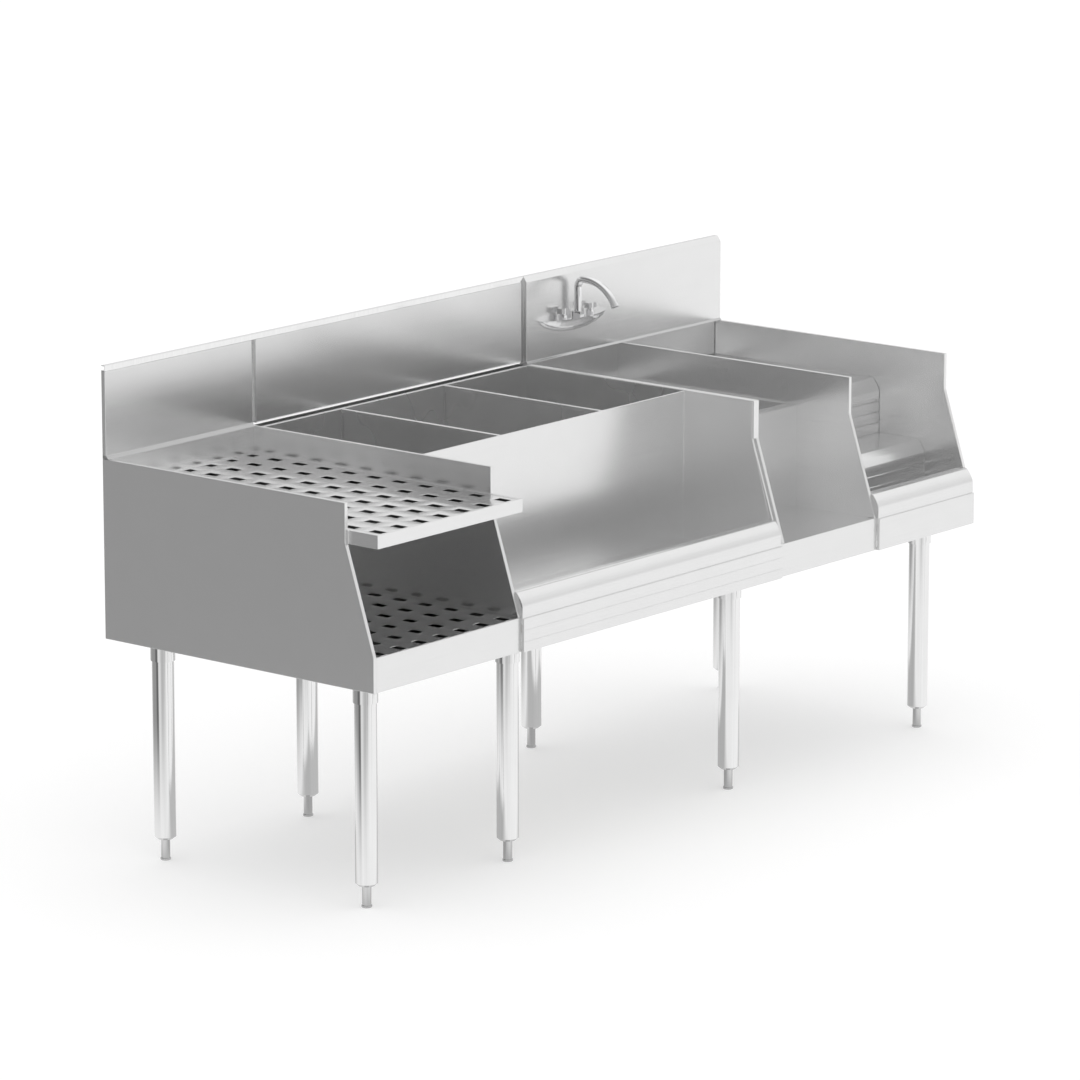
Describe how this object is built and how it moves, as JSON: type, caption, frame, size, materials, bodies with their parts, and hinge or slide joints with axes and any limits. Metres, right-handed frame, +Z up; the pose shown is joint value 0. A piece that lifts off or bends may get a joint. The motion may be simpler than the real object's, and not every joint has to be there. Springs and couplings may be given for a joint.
{
  "type": "underbar sink station",
  "caption": "Stainless underbar station with perforated drainboard, ice bin with bottle wells, blender recess with dump sink and faucet, and stepped bottle rack on legs.",
  "frame": {"origin": "on the floor, in the middle of the footprint", "axes": "+Z up, +X along the length towards the bottle rack, -Y towards the user at the front"},
  "size_m": [1.829, 0.667, 0.94],
  "materials": {
    "satin_steel": "satin brushed stainless sheet",
    "polished_steel": "polished stainless",
    "chrome": "polished chrome plate",
    "foam": "rigid foam, matt"
  },
  "bodies": {
    "station": {"splash_left": "satin_steel", "splash_center": "satin_steel", "splash_right": "satin_steel", "splash_trim": "polished_steel", "rear_panel": "satin_steel", "left_side_panel": "satin_steel", "right_side_panel": "satin_steel", "drain_partition": "satin_steel", "bin_right_panel": "satin_steel", "blender_left_panel": "satin_steel", "rack_partition": "satin_steel", "drain_pan": "satin_steel", "drain_outlet": "polished_steel", "shelf_tray": "satin_steel", "drain_apron": "satin_steel", "bin_liner": "satin_steel", "bin_insulation": "foam", "bin_front_rail": "satin_steel", "bin_apron": "satin_steel", "bin_drain": "polished_steel", "bottle_wells": "satin_steel", "divider_guides": "satin_steel", "recess_pan": "satin_steel", "dump_sink": "satin_steel", "sink_drain_flange": "polished_steel", "sink_tailpiece": "polished_steel", "drain_locknuts": "polished_steel", "blender_apron": "satin_steel", "rack_upper_step": "satin_steel", "rack_lower_step": "satin_steel", "rack_floor": "satin_steel", "rack_front_rail": "satin_steel", "rack_apron": "satin_steel", "underframe": "satin_steel", "leg_sockets": "polished_steel", "leg_tubes": "polished_steel", "leg_set_screws": "polished_steel", "foot_plugs": "polished_steel", "faucet_body": "chrome", "faucet_shanks": "chrome", "valve_bonnets": "chrome", "spout_nut": "chrome"},
    "deck_insert": {"drain_insert": "satin_steel"},
    "shelf_insert": {"lower_shelf": "satin_steel"},
    "divider_left": {"well_divider_left": "polished_steel"},
    "divider_right": {"well_divider_right": "polished_steel"},
    "bin_screen": {"bin_drain_screen": "polished_steel"},
    "sink_screen": {"sink_strainer": "polished_steel"},
    "hot_handle": {"handle_hot": "chrome"},
    "cold_handle": {"handle_cold": "chrome"},
    "spout_arm": {"spout": "chrome", "aerator": "chrome"},
    "leveling_foot_1": {"foot_1": "polished_steel"},
    "leveling_foot_2": {"foot_2": "polished_steel"},
    "leveling_foot_3": {"foot_3": "polished_steel"},
    "leveling_foot_4": {"foot_4": "polished_steel"},
    "leveling_foot_5": {"foot_5": "polished_steel"},
    "leveling_foot_6": {"foot_6": "polished_steel"},
    "leveling_foot_7": {"foot_7": "polished_steel"},
    "leveling_foot_8": {"foot_8": "polished_steel"}
  },
  "joints": [
    {"name": "deck_insert_lift", "type": "slide", "parent": "station", "child": "deck_insert", "axis": [0, 0, 1], "range_m": [0, 0.06]},
    {"name": "shelf_insert_lift", "type": "slide", "parent": "station", "child": "shelf_insert", "axis": [0, 0, 1], "range_m": [0, 0.06]},
    {"name": "divider_left_lift", "type": "slide", "parent": "station", "child": "divider_left", "axis": [0, 0, 1], "range_m": [0, 0.15]},
    {"name": "divider_right_lift", "type": "slide", "parent": "station", "child": "divider_right", "axis": [0, 0, 1], "range_m": [0, 0.15]},
    {"name": "bin_screen_lift", "type": "slide", "parent": "station", "child": "bin_screen", "axis": [0, 0, 1], "range_m": [0, 0.04]},
    {"name": "sink_screen_lift", "type": "slide", "parent": "station", "child": "sink_screen", "axis": [0, 0, 1], "range_m": [0, 0.05]},
    {"name": "hot_valve_turn", "type": "hinge", "parent": "station", "child": "hot_handle", "pos_m": [0.3845, 0.3025, 0.84496], "axis": [0, 0, 1], "range_deg": [0, 90]},
    {"name": "cold_valve_turn", "type": "hinge", "parent": "station", "child": "cold_handle", "pos_m": [0.4705, 0.3025, 0.84496], "axis": [0, 0, -1], "range_deg": [0, 90]},
    {"name": "spout_swivel", "type": "hinge", "parent": "station", "child": "spout_arm", "pos_m": [0.4275, 0.2995, 0.84496], "axis": [0, 0, 1], "range_deg": [-80, 80]},
    {"name": "foot_1_adjust", "type": "slide", "parent": "station", "child": "leveling_foot_1", "axis": [0, 0, -1], "range_m": [0, 0.025]},
    {"name": "foot_2_adjust", "type": "slide", "parent": "station", "child": "leveling_foot_2", "axis": [0, 0, -1], "range_m": [0, 0.025]},
    {"name": "foot_3_adjust", "type": "slide", "parent": "station", "child": "leveling_foot_3", "axis": [0, 0, -1], "range_m": [0, 0.025]},
    {"name": "foot_4_adjust", "type": "slide", "parent": "station", "child": "leveling_foot_4", "axis": [0, 0, -1], "range_m": [0, 0.025]},
    {"name": "foot_5_adjust", "type": "slide", "parent": "station", "child": "leveling_foot_5", "axis": [0, 0, -1], "range_m": [0, 0.025]},
    {"name": "foot_6_adjust", "type": "slide", "parent": "station", "child": "leveling_foot_6", "axis": [0, 0, -1], "range_m": [0, 0.025]},
    {"name": "foot_7_adjust", "type": "slide", "parent": "station", "child": "leveling_foot_7", "axis": [0, 0, -1], "range_m": [0, 0.025]},
    {"name": "foot_8_adjust", "type": "slide", "parent": "station", "child": "leveling_foot_8", "axis": [0, 0, -1], "range_m": [0, 0.025]}
  ]
}
